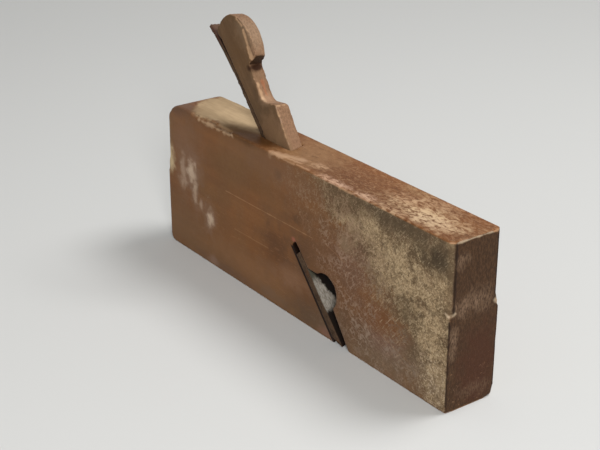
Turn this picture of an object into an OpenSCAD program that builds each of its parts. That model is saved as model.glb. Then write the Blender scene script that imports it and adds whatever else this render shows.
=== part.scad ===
// Skew-mouthed wooden rebate plane: beech stock, T-shaped iron and long wedge.
// Millimetres. +X points to the toe, +Y to the user's left, +Z up.
// The origin is the middle of the sole, so the plane stands on z = 0.

/* [Stock] */
// Length of the stock, heel to toe
stock_l = 241; // [220:1:270]
// Width of the stock, which is also the width of the cut
stock_w = 30; // [24:0.5:36]
// Height of the stock
stock_h = 86; // [78:1:94]
// Radius of the rounded top of the heel, where the palm pushes
heel_r = 15; // [6:0.5:22]
// Radius of the small rounding at the foot of the heel
heel_foot_r = 4; // [1:0.5:8]
// Leg of the stopped chamfer on each upright edge
chamfer = 2.4; // [1:0.2:4]
// Height at which the chamfers run out in a gouge cut
chamfer_stop = 50; // [30:1:65]
// Sweep of the gouge that ends each chamfer
gouge_r = 5; // [4:0.5:12]

/* [Mouth] */
// Angle of the bed, as it shows on the side of the stock
pitch = 48.3; // [45:0.1:52]
// Angle in plan by which the right end of the edge leads the left
skew = 17; // [2:1:20]
// Toe to the front of the mouth, along the middle of the sole
toe_to_mouth = 76.4; // [70:0.2:84]
// Opening ahead of the cutting edge, along the sole
mouth_gap = 4.5; // [2:0.1:6]
// Angle of the wall that faces the iron, as it shows on the side
throat_angle = 54.8; // [52:0.2:58]

/* [Shaving hole] */
// Radius of the hole on the right side of the stock
hole_r = 9.3; // [8.5:0.1:10.5]
// How much wider its radius is on the left side, where shavings leave
hole_flare = 3; // [0.5:0.5:4]
// Height of the hole's centre above the sole
hole_z = 25.4; // [24:0.2:27]
// Distance of the hole's centre ahead of the iron
hole_ahead = 8.1; // [6.5:0.1:9]
// Height above the hole's centre of its point at the iron
hole_tail = 7.3; // [4:0.1:8]

/* [Iron] */
// Thickness of the iron at the sole
iron_t = 4.6; // [3.6:0.1:5.4]
// Thickness of the tang where it starts to bend
tang_t = 2.2; // [1.6:0.1:3]
// Length of the wide part, up the bed from the sole
blade_l = 46.5; // [43:0.5:50]
// Room above its shoulders in the slots of the cheeks
slot_room = 5.6; // [5:0.1:8]
// Width of the tang at the shoulders
tang_w = 8.2; // [7.4:0.1:8.4]
// Width of the tang at its end
tang_end_w = 7.2; // [5:0.2:7.2]
// Inside radius between the shoulders and the tang
tang_fillet = 2; // [1:0.2:2.4]
// Length of tang, above the stock, that stays straight
bend_start = 26.8; // [20:0.2:32]
// Radius of the bend
bend_r = 240; // [150:10:600]
// Length of the bent end
bend_l = 39.5; // [25:0.5:44]
// Clearance angle of the ground bevel above the sole
bevel_clearance = 15.4; // [10:0.2:25]
// How far the edge is drawn up inside the sole
edge_set = 0.1; // [0.05:0.05:0.5]

/* [Wedge] */
// Width of the wedge between the cheeks
wedge_w = 9.4; // [9.2:0.2:12]
// Thickness where its back meets the top of the stock
wedge_t = 20; // [18:0.2:22]
// Taper of the wedge
wedge_angle = 9.8; // [8:0.2:11]
// Height of the tip above the sole
tip_z = 26; // [24:0.5:32]
// Angle between the cut-off tip and the wedge's back
tip_angle = 46; // [35:1:70]
// Length from the top of the stock to the front shoulder
ledge_p = 6.6; // [5:0.2:10]
// Angle between the shoulder and the wedge's back
ledge_angle = 53.4; // [48:0.2:70]
// Depth of the neck behind the front
neck_step = 11; // [9:0.2:12]
// Radius of the hollow at the foot of the neck
cove_r = 6.2; // [4:0.2:7]
// Length from the top of the stock to the underside of the head
neck_p = 34.2; // [31:0.2:36]
// Slope of the underside of the head
neck_slope = 3; // [1:1:10]
// Length from the top of the stock to the crown of the head
head_p = 65; // [62:0.2:68]
// Depth of the head from the wedge's back to its front
head_q = 25.4; // [24:0.2:27]
// Radius of the front of the head
bow_r = 21; // [20:0.2:23]
// Length from the top of the stock to the head's foremost point
bow_p = 46.5; // [45:0.1:48]
// Radius of the crown
crown_r = 19.6; // [18:0.2:21]
// Distance of the crown's highest point from the wedge's back
crown_q = 9; // [8:0.2:11]
// Depth of the chamfer at the head's foremost point
head_chamfer = 1.2; // [0.8:0.1:2]
// How much the chamfer's round is smaller and higher than the front's
chamfer_lift = 3; // [2.4:0.1:3.4]
// Inward run of the chamfer for each millimetre across the wedge
chamfer_slope = 2.6; // [1.8:0.1:3.2]

/* [Fits] */
// Gap behind the iron
bed_gap = 0.2; // [0.1:0.05:0.4]
// Gap in front of the iron in the slots of the cheeks
slot_fit = 0.2; // [0.1:0.05:0.4]
// Gap between the wedge and the faces that it bears on
wedge_fit = 0.15; // [0.12:0.01:0.3]
// Gap between the wedge and each cheek
cheek_fit = 0.12; // [0.08:0.01:0.3]

/* [Hidden] */
$fn = 96;

// How far cutters run past the wood, and how long they are
past = 10;
long = stock_l + 2 * stock_w;
mortise_w = wedge_w + 2 * cheek_fit;

// Lean of the skewed bed across its own slope
lean = atan(tan(skew) * sin(pitch));

// The tang bends at bend_u, measured up the bed from the sole; the iron thins to there
bend_u = stock_h / sin(pitch) + bend_start;
thinning = (iron_t - tang_t) / bend_u;
taper = atan(thinning);

// Face of the iron as it crosses the upright middle plane of the stock
face_thinning = thinning / cos(lean);
face_pitch = pitch - atan(face_thinning);
face_v = (bed_gap + iron_t) / cos(lean);
function face_u(z) = (z - face_v * cos(pitch)) / (sin(pitch) - face_thinning * cos(pitch));

// Cutting edge, foot of the bed and walls of the mouth in that plane
mouth_x = stock_l / 2 - toe_to_mouth;
edge_x = mouth_x - mouth_gap;
edge_u = face_u(edge_set);
edge_v = face_v - face_thinning * edge_u;
bed_foot_x = edge_x + edge_u * cos(pitch) - edge_v * sin(pitch);
function face_x(z) = edge_x - (z - edge_set) / tan(face_pitch);
function throat_x(z) = mouth_x - z / tan(throat_angle);
hole = [face_x(hole_z) + hole_ahead, hole_z];
tail_z = hole_z + hole_tail;

// Side view of what lies on the bed: u up the bed, v square to it
function iron_back(u) = [u, bed_gap];
function iron_face(u) = [u, bed_gap + iron_t - thinning * u];
slot_u = blade_l + slot_room;
// Its edges are square to the leaning bed, so the tang is set over to stay amid the mortise
tang_over = (bed_gap + (iron_t - thinning * slot_u) / 2) * tan(lean);
top_u = face_u(stock_h);
wedge_foot = iron_face(top_u) + [0, wedge_fit];

// Side view of the wedge: p along its back from the top of the stock, q square to it
function along_back(z) = (z - stock_h) / sin(face_pitch);
function front_q(p) = wedge_t + p * tan(wedge_angle);
function neck_q(p) = front_q(p) - neck_step / cos(wedge_angle);
tip_p = along_back(tip_z);
tip_front_p = (wedge_t + tip_p * tan(tip_angle)) / (tan(tip_angle) - tan(wedge_angle));
ledge_turn = ledge_angle + wedge_angle;
ledge_l = (neck_step - cove_r + cove_r * cos(ledge_turn)) / sin(ledge_turn);
ledge_front = [ledge_p, front_q(ledge_p)];
ledge_back = ledge_front + ledge_l * [cos(ledge_angle), -sin(ledge_angle)];
cove = ledge_back + cove_r * [sin(ledge_angle), cos(ledge_angle)];
neck_foot = cove + cove_r * [sin(wedge_angle), -cos(wedge_angle)];
crown = [head_p - crown_r, crown_q];
bow = [bow_p, head_q - bow_r];
flat_r = bow_r - chamfer_lift;
flat = [bow_p + chamfer_lift, head_q - head_chamfer - flat_r];

// Place in the stock's axes of a point of the wedge's side view, where it passes y
function wedge_at(point, y) =
    let (
        u = wedge_foot.x + point.x * cos(taper) + point.y * sin(taper),
        v = wedge_foot.y + point.y * cos(taper) - point.x * sin(taper),
        w = (y - v * sin(lean)) / cos(lean),
        ahead = v * cos(lean) - w * sin(lean)
    )
    [bed_foot_x - u * cos(pitch) + ahead * sin(pitch), y, u * sin(pitch) + ahead * cos(pitch)];

// Runs a middle-plane outline level across the stock, along the cutting edge
module along_edge(outline) {
    rotate([90, 0, skew]) linear_extrude(long, center = true)
        polygon([for (point = outline) [point.x * cos(skew), point.y]]);
}

// Lays its children on the bed: x up the bed, y square to it, z across
module on_bed() {
    translate([bed_foot_x, 0, 0]) rotate([lean - 90, 180 + pitch, 0]) children();
}

// Runs a side view of the bed across it, square to the iron's length
module across_bed() {
    on_bed() linear_extrude(long, center = true) children();
}

// Runs a side view of the wedge across it
module across_wedge() {
    across_bed() translate(wedge_foot) rotate(-taper) children();
}

// The part of its children within a width about the middle
module within(width) {
    intersection() {
        children();
        cube([2 * long, width, 2 * long], center = true);
    }
}

// What a rounded corner at the origin loses, with the wood towards +x and +y
module corner_waste(r) {
    difference() {
        translate([-past, -past]) square(r + past);
        translate([r, r]) circle(r);
    }
}

module stock_side() {
    difference() {
        translate([-stock_l / 2, 0]) square([stock_l, stock_h]);
        translate([-stock_l / 2, stock_h]) mirror([0, 1]) corner_waste(heel_r);
        translate([-stock_l / 2, 0]) corner_waste(heel_foot_r);
    }
}

// Stopped chamfer on an upright edge, cut in from the direction out
module edge_cut(x, y, out) {
    depth = chamfer / sqrt(2);
    rise = sqrt(gouge_r * gouge_r - (gouge_r - depth) * (gouge_r - depth));
    translate([x, y, chamfer_stop + rise]) rotate([0, 0, out]) {
        translate([-depth, -past, 0]) cube([past, 2 * past, stock_h]);
        translate([gouge_r - depth, 0, 0]) rotate([90, 0, 0])
            cylinder(h = 2 * past, r = gouge_r, center = true);
    }
}

// Shaving hole, bored level along the cutting edge and flaring to the left
module shaving_hole() {
    run = stock_w / cos(skew);
    flare = past * hole_flare / run;
    near_x = hole.x + tan(skew) * stock_w / 2;
    intersection() {
        translate([near_x, -stock_w / 2, hole.y]) rotate([0, 0, skew]) rotate([-90, 0, 0])
            translate([0, 0, -past])
                cylinder(h = run + 2 * past, r1 = hole_r - flare, r2 = hole_r + hole_flare + flare);
        across_bed() translate([-long / 2, 0]) square(long);
    }
}

// Way up from the mouth into the hole, and the hole's point at the iron
module throat() {
    inside_z = hole.y - hole_r / 2;
    along_edge([
        [face_x(-past), -past],
        [throat_x(-past), -past],
        [throat_x(inside_z), inside_z],
        hole,
        [hole.x, tail_z],
        [face_x(tail_z), tail_z]
    ]);
}

// Slots in the cheeks that hold the wide part of the iron
module iron_slot() {
    low_u = edge_u - 2 * past;
    across_bed() polygon([
        [low_u, 0],
        [slot_u, 0],
        iron_face(slot_u) + [0, slot_fit],
        iron_face(low_u) + [0, slot_fit]
    ]);
}

// Mortise for the tang and, ahead of it, for the wedge
module mortise() {
    low_p = along_back(hole.y);
    out_p = 3 * past;
    room = wedge_fit / cos(wedge_angle);
    within(mortise_w) {
        across_bed() polygon([
            [slot_u - past, 0],
            [top_u + 2 * past, 0],
            iron_face(top_u + 2 * past),
            iron_face(slot_u - past)
        ]);
        across_wedge() polygon([
            [low_p, -tang_t],
            [out_p, -tang_t],
            [out_p, front_q(out_p) + room],
            [low_p, front_q(low_p) + room]
        ]);
    }
}

module stock() {
    color("sienna") difference() {
        rotate([90, 0, 0]) linear_extrude(stock_w, center = true) stock_side();
        for (side = [-1, 1]) {
            edge_cut(stock_l / 2, side * stock_w / 2, side * 45);
            edge_cut(-stock_l / 2, side * stock_w / 2, side * 135);
        }
        iron_slot();
        throat();
        shaving_hole();
        mortise();
    }
}

// Side view of the iron: tapered plate, and the end of its tang bent back
module iron_side() {
    low_u = edge_u - 2 * past;
    turn = bend_l / bend_r * 180 / PI;
    polygon([iron_back(low_u), iron_back(bend_u), iron_face(bend_u), iron_face(low_u)]);
    translate([bend_u, bed_gap - bend_r]) intersection() {
        difference() {
            circle(bend_r + tang_t);
            circle(bend_r);
        }
        polygon([[0, 0], [0, 2 * bend_r], [2 * bend_r * tan(turn), 2 * bend_r]]);
    }
}

// Face of the iron, x along it: full width up to the shoulders, then the narrowing tang
module iron_plan() {
    end_u = bend_u + bend_l;
    half = tang_w / 2;
    end_half = tang_end_w / 2;
    corner = half + tang_fillet;
    translate([blade_l - long, -stock_w]) square([long, 2 * stock_w]);
    polygon([
        [blade_l - past, -half],
        [blade_l, -half],
        [end_u, -end_half],
        [end_u, end_half],
        [blade_l, half],
        [blade_l - past, half]
    ]);
    for (side = [0, 1]) mirror([0, side]) difference() {
        translate([blade_l - past, 0]) square([tang_fillet + past, corner]);
        translate([blade_l + tang_fillet, corner]) circle(tang_fillet);
    }
}

// What grinding takes off below and behind the cutting edge
module bevel_waste() {
    back_x = edge_x - long;
    along_edge([
        [edge_x, edge_set],
        [back_x, edge_set + long * tan(bevel_clearance)],
        [back_x, -long],
        [edge_x + long, -long],
        [edge_x + long, edge_set]
    ]);
}

module iron() {
    color("slategray") difference() {
        within(stock_w) intersection() {
            across_bed() iron_side();
            on_bed() translate([0, 0, -tang_over]) rotate([90, 0, 0])
                linear_extrude(long, center = true) iron_plan();
        }
        bevel_waste();
    }
}

// Side view of the wedge: taper, front shoulder, hollowed neck and round head
module wedge_side() {
    top_p = 2 * head_p;
    out_q = 2 * head_q;
    under_p = neck_p + (out_q - neck_q(neck_p)) * tan(neck_slope);
    difference() {
        polygon([
            [tip_p, 0],
            [tip_front_p, front_q(tip_front_p)],
            ledge_front,
            ledge_back,
            cove,
            neck_foot,
            [neck_p, neck_q(neck_p)],
            [under_p, out_q],
            [top_p, out_q],
            [top_p, 0]
        ]);
        translate(cove) circle(cove_r);
        difference() {
            translate([neck_p, -head_p]) square(3 * head_p);
            intersection() {
                translate(crown) circle(crown_r);
                translate(bow) circle(bow_r);
            }
        }
    }
}

// Room for the wedge, drawn in round the head by the chamfers on its edges
module head_room() {
    half = wedge_w / 2;
    run = half + 1;
    across_wedge() translate([neck_p - long, -long / 2]) square(long);
    for (side = [-1, 1]) translate(wedge_at(flat, side * half)) rotate([side * 90, 0, 0])
        cylinder(h = run, r1 = flat_r, r2 = flat_r + run * chamfer_slope);
}

module wedge() {
    color("tan") intersection() {
        within(wedge_w) across_wedge() wedge_side();
        head_room();
    }
}

stock();
iron();
wedge();
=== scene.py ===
import bmesh
import bpy
import numpy as np
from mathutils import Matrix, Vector, noise
from mathutils.bvhtree import BVHTree


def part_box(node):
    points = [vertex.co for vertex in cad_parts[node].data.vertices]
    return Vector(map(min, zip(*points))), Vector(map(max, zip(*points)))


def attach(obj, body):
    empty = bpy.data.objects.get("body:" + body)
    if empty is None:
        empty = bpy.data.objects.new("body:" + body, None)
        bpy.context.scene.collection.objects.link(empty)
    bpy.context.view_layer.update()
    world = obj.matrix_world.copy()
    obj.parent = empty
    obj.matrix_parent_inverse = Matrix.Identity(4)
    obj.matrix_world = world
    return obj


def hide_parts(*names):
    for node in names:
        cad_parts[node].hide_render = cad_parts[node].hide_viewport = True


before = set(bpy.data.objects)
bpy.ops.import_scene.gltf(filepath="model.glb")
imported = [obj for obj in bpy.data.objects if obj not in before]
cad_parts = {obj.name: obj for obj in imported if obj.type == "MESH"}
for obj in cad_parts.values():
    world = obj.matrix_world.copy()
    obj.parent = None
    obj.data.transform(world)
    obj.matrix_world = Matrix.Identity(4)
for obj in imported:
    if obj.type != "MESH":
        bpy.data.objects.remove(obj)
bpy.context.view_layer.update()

# Stock
# One block of beech, sawn along the grain, planed square and oiled brown. The mouth, slots, mortise and
# hole are chopped and bored into it. Damp has stained the toe, and hands have worn the heel bare on top.

MM = 0.001


def corners(node):
    """Lowest and highest corner of a CAD node at rest, in millimetres."""
    return [[round(part / MM, 2) for part in corner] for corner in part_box(node)]


(HEEL, RIGHT, SOLE), (TOE, LEFT, TOP) = corners("stock")
STOCK_FACE = 0.7 * MM

# Chamfers on the upright edges, and the height where they stop
CHAMFER = 2.4
CHAMFER_FOOT = 50.0

# Bed of the iron: the point where it meets the sole, and the direction that it faces
BED_FOOT = (32.995, 0.0, SOLE)
BED_FACING = (0.7279, 0.2225, 0.6486)


def dense_copy(node, name, face_size):
    """A copy of a CAD node in small even faces, so that wear can be worked into it."""
    work = bmesh.new()
    work.from_mesh(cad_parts[node].data)
    bmesh.ops.remove_doubles(work, verts=work.verts, dist=0.001 * MM)
    mesh = bpy.data.meshes.new(name)
    work.to_mesh(mesh)
    piece = bpy.data.objects.new(name, mesh)
    bpy.context.scene.collection.objects.link(piece)
    remesh = piece.modifiers.new("small_faces", "REMESH")
    remesh.mode = "VOXEL"
    remesh.voxel_size = face_size
    remesh.use_smooth_shade = True
    graph = bpy.context.evaluated_depsgraph_get()
    dense = bpy.data.meshes.new_from_object(piece.evaluated_get(graph))
    piece.modifiers.clear()
    piece.data = dense
    dense.materials.clear()
    solid = BVHTree.FromBMesh(work)
    work.free()
    return piece, solid


def read_points(mesh):
    """Points of a mesh, in millimetres."""
    points = np.empty(len(mesh.vertices) * 3)
    mesh.vertices.foreach_get("co", points)
    return points.reshape(-1, 3) / MM


def set_points(mesh, points):
    mesh.vertices.foreach_set("co", (points * MM).ravel())
    mesh.update()


def out_directions(mesh):
    directions = np.empty(len(mesh.vertices) * 3)
    mesh.vertex_normals.foreach_get("vector", directions)
    return directions.reshape(-1, 3)


def cloudy(points, size, seed):
    """Smooth noise between -1 and 1, with blobs about as wide as size in millimetres."""
    shift = Vector((seed * 17.3, seed * 5.1, seed * 9.7))
    return np.array([noise.noise(Vector(point) / size + shift) for point in points])


def rub(points, edges, wanted):
    """Rounds edges: a point moves towards the mean of its neighbours, as many times as wanted there."""
    count = len(points)
    first, second = edges[:, 0], edges[:, 1]
    neighbours = np.bincount(edges.ravel(), minlength=count)
    for turn in range(int(wanted.max())):
        middle = np.empty_like(points)
        for axis in range(3):
            total = np.bincount(first, weights=points[second, axis], minlength=count)
            total += np.bincount(second, weights=points[first, axis], minlength=count)
            middle[:, axis] = total / neighbours
        share = np.clip(wanted - turn, 0, 1)[:, None]
        points = points + 0.5 * share * (middle - points)
    return points


def depth_below(points, solid):
    """How far each point lies below the surface of the unworn solid, and the nearest place on it."""
    depth = np.empty(len(points))
    surface = np.empty_like(points)
    for index, point in enumerate(points):
        here = Vector(point) * MM
        place, outward, _, away = solid.find_nearest(here)
        side = -1 if (here - place).dot(outward) > 0 else 1
        depth[index] = side * away / MM
        surface[index] = place / MM
    return depth, surface


def wear_in(piece, solid, rubs, rounded, knocks, chip_depth, chip_size, ripple):
    """Works wear into a dense piece: rubbed edges, rounder places, knocks, chipped edges and uneven faces.
    A rounder place is a middle, a reach and the most turns of rubbing. A knock is two ends, a radius and
    a depth. No point leaves the unworn solid. The depth of wear is kept on the mesh for the material."""
    worn_through = 0.3
    ripple_size = 14.0
    mesh = piece.data
    points = read_points(mesh)
    edges = np.empty(len(mesh.edges) * 2, dtype=int)
    mesh.edges.foreach_get("vertices", edges)
    edges = edges.reshape(-1, 2)
    wanted = np.full(len(points), float(rubs))
    for middle, reach, most in rounded:
        away = np.linalg.norm((points - middle) / reach, axis=1)
        wanted = np.maximum(wanted, most * np.clip(1 - away ** 2, 0, 1))
    points = rub(points, edges, wanted)
    set_points(mesh, points)
    outward = out_directions(mesh)
    depth, _ = depth_below(points, solid)
    on_edge = np.clip(depth / worn_through, 0, 1)
    # Chips come in clusters along the edges, and hardly any at the sole
    chips = np.clip(cloudy(points, chip_size, 1) * 2 - 0.35, 0, 1)
    chips *= 0.6 + 0.4 * cloudy(points, chip_size / 4, 2)
    off_sole = np.clip(points[:, 2] / 4 - 0.25, 0.15, 1)
    push = chip_depth * on_edge * chips * off_sole
    for start, end, radius, deep in knocks:
        along = np.subtract(end, start)
        share = np.clip((points - start) @ along / (along @ along), 0, 1)[:, None]
        away = np.linalg.norm(points - (start + share * along), axis=1)
        rough = 1 + 0.5 * cloudy(points, radius, 3)
        push = np.maximum(push, deep * rough * np.clip(1 - (away / radius) ** 2, 0, 1))
    points = points - push[:, None] * outward
    depth, _ = depth_below(points, solid)
    worn = np.clip(depth, 0, None)
    hollow = ripple * (1 + cloudy(points, ripple_size, 4)) / 2
    points = points - hollow[:, None] * outward
    depth, surface = depth_below(points, solid)
    points = np.where((depth < 0)[:, None], surface, points)
    set_points(mesh, points)
    mesh.attributes.new("wear", "FLOAT", "POINT").data.foreach_set("value", worn)


stock, stock_solid = dense_copy("stock", "stock_worn", STOCK_FACE)
wear_in(
    stock,
    stock_solid,
    rubs=1,
    rounded=[
        # Top of the heel, where the palm pushes, and its right-hand arris
        ((-112, 0, 80), (26, 30, 22), 14),
        ((-78, RIGHT, TOP), (42, 6, 6), 9),
        # Bottom corners of the toe
        ((TOE, LEFT, SOLE), (8, 6, 6), 24),
        ((TOE, RIGHT, SOLE), (5, 5, 5), 8),
    ],
    knocks=[
        # Splinter lost from the right arris behind the wedge
        ((-92, -14.8, TOP), (-56, -14.6, TOP), 2.4, 1.1),
        # Worn strip beside the wedge, and a bite ahead of it
        ((-18, RIGHT, TOP), (2, RIGHT, TOP), 1.6, 0.6),
        ((40, RIGHT, TOP), (49, RIGHT, TOP), 1.4, 0.7),
        # Top corners of the toe
        ((TOE, 12.6, TOP), (TOE, 10.5, TOP), 1.6, 0.8),
        ((TOE, -12.6, TOP), (118.1, RIGHT, TOP), 1.2, 0.6),
        # Ends of the toe's chamfers
        ((TOE, 14, 51), (TOE, LEFT, 49), 1.8, 0.6),
        ((119.6, RIGHT, 51), (TOE, RIGHT, 48.5), 1.5, 0.5),
        # Back of the heel
        ((HEEL, -12.6, 60), (HEEL, -14, 46), 2.4, 0.6),
    ],
    chip_depth=0.7,
    chip_size=7.0,
    ripple=0.10,
)


def tone(red, green, blue):
    """A colour for a shader socket, given as it looks on a screen, 0 to 255."""
    return (*[((part / 255 + 0.055) / 1.055) ** 2.4 for part in (red, green, blue)], 1.0)


def feed(tree, socket, value):
    """Links a socket to another node's output, or sets it to a plain value."""
    if isinstance(value, bpy.types.NodeSocket):
        tree.links.new(value, socket)
    else:
        socket.default_value = value


def sums(tree, operation, first, second=0.0, third=0.0):
    node = tree.nodes.new("ShaderNodeMath")
    node.operation = operation
    for socket, value in zip(node.inputs, (first, second, third)):
        feed(tree, socket, value)
    return node.outputs[0]


def vector_sums(tree, operation, first, second=(0, 0, 0)):
    node = tree.nodes.new("ShaderNodeVectorMath")
    node.operation = operation
    feed(tree, node.inputs[0], first)
    feed(tree, node.inputs["Scale" if operation == "SCALE" else 1], second)
    gives_number = operation in ("LENGTH", "DOT_PRODUCT")
    return node.outputs["Value" if gives_number else "Vector"]


def rise(tree, value, low, high):
    """Smooth step from 0 at low to 1 at high, also where low is the greater."""
    node = tree.nodes.new("ShaderNodeMapRange")
    node.interpolation_type = "SMOOTHSTEP"
    feed(tree, node.inputs["Value"], value)
    feed(tree, node.inputs["From Min"], low)
    feed(tree, node.inputs["From Max"], high)
    return node.outputs["Result"]


def cloud(tree, place, scale, detail=2.0, rough=0.5, twist=0.0):
    """Smooth noise about 0.5. One scale makes round blobs, and one for each axis draws them out."""
    node = tree.nodes.new("ShaderNodeTexNoise")
    if isinstance(scale, tuple):
        place = vector_sums(tree, "MULTIPLY", place, scale)
        scale = 1.0
    feed(tree, node.inputs["Vector"], place)
    feed(tree, node.inputs["Scale"], scale)
    feed(tree, node.inputs["Detail"], detail)
    feed(tree, node.inputs["Roughness"], rough)
    node.inputs["Distortion"].default_value = twist
    return node.outputs[0]


def both(tree, first, *others):
    """Where all of several masks hold."""
    for other in others:
        first = sums(tree, "MULTIPLY", first, other)
    return first


def either(tree, first, *others):
    """Where at least one of several masks holds."""
    for other in others:
        first = sums(tree, "MAXIMUM", first, other)
    return first


def coat(tree, amount, under, over, strength=1.0):
    """Lays one colour over another, as far as the amount says, which a strength below 1 thins."""
    if strength != 1.0:
        amount = sums(tree, "MULTIPLY", amount, strength)
    node = tree.nodes.new("ShaderNodeMix")
    node.data_type = "RGBA"
    # A mix node lists its colour sockets after those for numbers and vectors
    feed(tree, node.inputs[0], amount)
    feed(tree, node.inputs[6], under)
    feed(tree, node.inputs[7], over)
    return node.outputs[2]


def start_group(name, takes, gives):
    """A new node group, with the sockets that it takes from and gives to."""
    group = bpy.data.node_groups.new(name, "ShaderNodeTree")
    for label, kind in takes:
        group.interface.new_socket(label, in_out="INPUT", socket_type=kind)
    for label, kind in gives:
        group.interface.new_socket(label, in_out="OUTPUT", socket_type=kind)
    taken = group.nodes.new("NodeGroupInput").outputs
    given = group.nodes.new("NodeGroupOutput").inputs
    return group, taken, given


def place_group(tree, group, **values):
    """Puts a node group into a tree, feeds it and returns what it gives."""
    node = tree.nodes.new("ShaderNodeGroup")
    node.node_tree = group
    for label, value in values.items():
        feed(tree, node.inputs[label], value)
    return node.outputs


NUMBER = "NodeSocketFloat"
VECTOR = "NodeSocketVector"
SCUFF_SIZE = (5.0, 0.7, 0.7)

# Beech along its fibres, which run along x of the place given in millimetres
beech_grain, taken, given = start_group(
    "beech_grain",
    [("Place", VECTOR)],
    [("Bands", NUMBER), ("Fibres", NUMBER), ("Rays", NUMBER), ("Relief", NUMBER)],
)
bands = cloud(beech_grain, taken["Place"], (0.006, 0.11, 0.13), 3.0)
fibres = cloud(beech_grain, taken["Place"], (0.05, 1.6, 1.6), 3.0, 0.6)
dashes = cloud(beech_grain, taken["Place"], (0.45, 2.6, 2.6), 1.0)
rays = rise(beech_grain, dashes, 0.62, 0.72)
feed(beech_grain, given["Bands"], rise(beech_grain, bands, 0.34, 0.66))
feed(beech_grain, given["Fibres"], rise(beech_grain, fibres, 0.36, 0.68))
feed(beech_grain, given["Rays"], rays)
feed(beech_grain, given["Relief"], sums(beech_grain, "MULTIPLY_ADD", rays, -0.5, fibres))

# Stain with a ragged border, round a middle, in millimetres
ragged_patch, taken, given = start_group(
    "ragged_patch",
    [
        ("Place", VECTOR),
        ("Middle", VECTOR),
        ("Reach", VECTOR),
        ("Ragged", NUMBER),
        ("Blob", NUMBER),
        ("Soft", NUMBER),
    ],
    [("Mask", NUMBER)],
)
offset = vector_sums(ragged_patch, "SUBTRACT", taken["Place"], taken["Middle"])
away = vector_sums(ragged_patch, "LENGTH", vector_sums(ragged_patch, "DIVIDE", offset, taken["Reach"]))
blobs = cloud(ragged_patch, taken["Place"], sums(ragged_patch, "DIVIDE", 1.0, taken["Blob"]), 4.0, 0.6)
bulge = sums(ragged_patch, "SUBTRACT", blobs, 0.5)
ragged_away = sums(ragged_patch, "MULTIPLY_ADD", bulge, taken["Ragged"], away)
outer = sums(ragged_patch, "ADD", 1.0, taken["Soft"])
inner = sums(ragged_patch, "SUBTRACT", 1.0, taken["Soft"])
feed(ragged_patch, given["Mask"], rise(ragged_patch, ragged_away, outer, inner))

# Scratch from one point to another, in millimetres, broken along its length
scratch_line, taken, given = start_group(
    "scratch_line",
    [("Place", VECTOR), ("From", VECTOR), ("To", VECTOR), ("Width", NUMBER)],
    [("Mask", NUMBER)],
)
run = vector_sums(scratch_line, "SUBTRACT", taken["To"], taken["From"])
start = vector_sums(scratch_line, "SUBTRACT", taken["Place"], taken["From"])
share = sums(
    scratch_line,
    "DIVIDE",
    vector_sums(scratch_line, "DOT_PRODUCT", start, run),
    vector_sums(scratch_line, "DOT_PRODUCT", run, run),
)
held = sums(scratch_line, "MAXIMUM", sums(scratch_line, "MINIMUM", share, 1.0), 0.0)
nearest = vector_sums(scratch_line, "SCALE", run, held)
gap = vector_sums(scratch_line, "LENGTH", vector_sums(scratch_line, "SUBTRACT", start, nearest))
waver = cloud(scratch_line, taken["Place"], 0.25, 3.0)
wide = sums(scratch_line, "MULTIPLY", taken["Width"], sums(scratch_line, "MULTIPLY_ADD", waver, 3.2, -0.7))
feed(scratch_line, given["Mask"], rise(scratch_line, gap, wide, 0.0))

# Bare places along worn edges, from the depth of wear kept on the mesh
worn_edge, taken, given = start_group(
    "worn_edge",
    [("Wear", NUMBER), ("Place", VECTOR), ("Start", NUMBER), ("Full", NUMBER), ("Breaks", NUMBER)],
    [("Mask", NUMBER)],
)
breaks = sums(worn_edge, "SUBTRACT", cloud(worn_edge, taken["Place"], 0.35, 4.0, 0.65), 0.5)
uneven = sums(worn_edge, "MULTIPLY_ADD", breaks, taken["Breaks"], taken["Wear"])
feed(worn_edge, given["Mask"], rise(worn_edge, uneven, taken["Start"], taken["Full"]))

# Fine speckle inside larger blobs, as mould, dust and rust make
mottle, taken, given = start_group(
    "mottle",
    [("Place", VECTOR), ("Blob", NUMBER), ("Speck", NUMBER)],
    [("Blobs", NUMBER), ("Specks", NUMBER)],
)
large = cloud(mottle, taken["Place"], sums(mottle, "DIVIDE", 1.0, taken["Blob"]), 4.0, 0.55)
small = cloud(mottle, taken["Place"], sums(mottle, "DIVIDE", 1.0, taken["Speck"]), 4.0, 0.7)
feed(mottle, given["Blobs"], rise(mottle, large, 0.40, 0.62))
feed(mottle, given["Specks"], rise(mottle, small, 0.40, 0.64))


def start_material(name):
    """A material with its shader, its place in millimetres and the depth of wear."""
    material = bpy.data.materials.new(name)
    material.use_nodes = True
    tree = material.node_tree
    shader = tree.nodes["Principled BSDF"]
    frame_place = tree.nodes.new("ShaderNodeTexCoord").outputs["Object"]
    place = vector_sums(tree, "SCALE", frame_place, 1 / MM)
    wear = tree.nodes.new("ShaderNodeAttribute")
    wear.attribute_name = "wear"
    return material, tree, shader, place, wear.outputs["Fac"]


def axes_of(tree, place):
    """How far a place lies along the stock, across it and up from its sole."""
    node = tree.nodes.new("ShaderNodeSeparateXYZ")
    feed(tree, node.inputs[0], place)
    return node.outputs


def patch_mask(tree, place, middle, reach, ragged=1.8, blob=6.0, soft=0.6):
    """Mask of a patch round a middle, with a border more or less ragged, blobby and soft."""
    patch = place_group(
        tree, ragged_patch, Place=place, Middle=middle, Reach=reach, Ragged=ragged, Blob=blob, Soft=soft
    )
    return patch["Mask"]


def stain(tree, colour, place, middle, reach, over, strength, within=(), **edge):
    """Lays a ragged patch of another colour over a colour, only where the masks in within hold too."""
    mask = both(tree, patch_mask(tree, place, middle, reach, **edge), *within)
    return coat(tree, mask, colour, over, strength)


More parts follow.
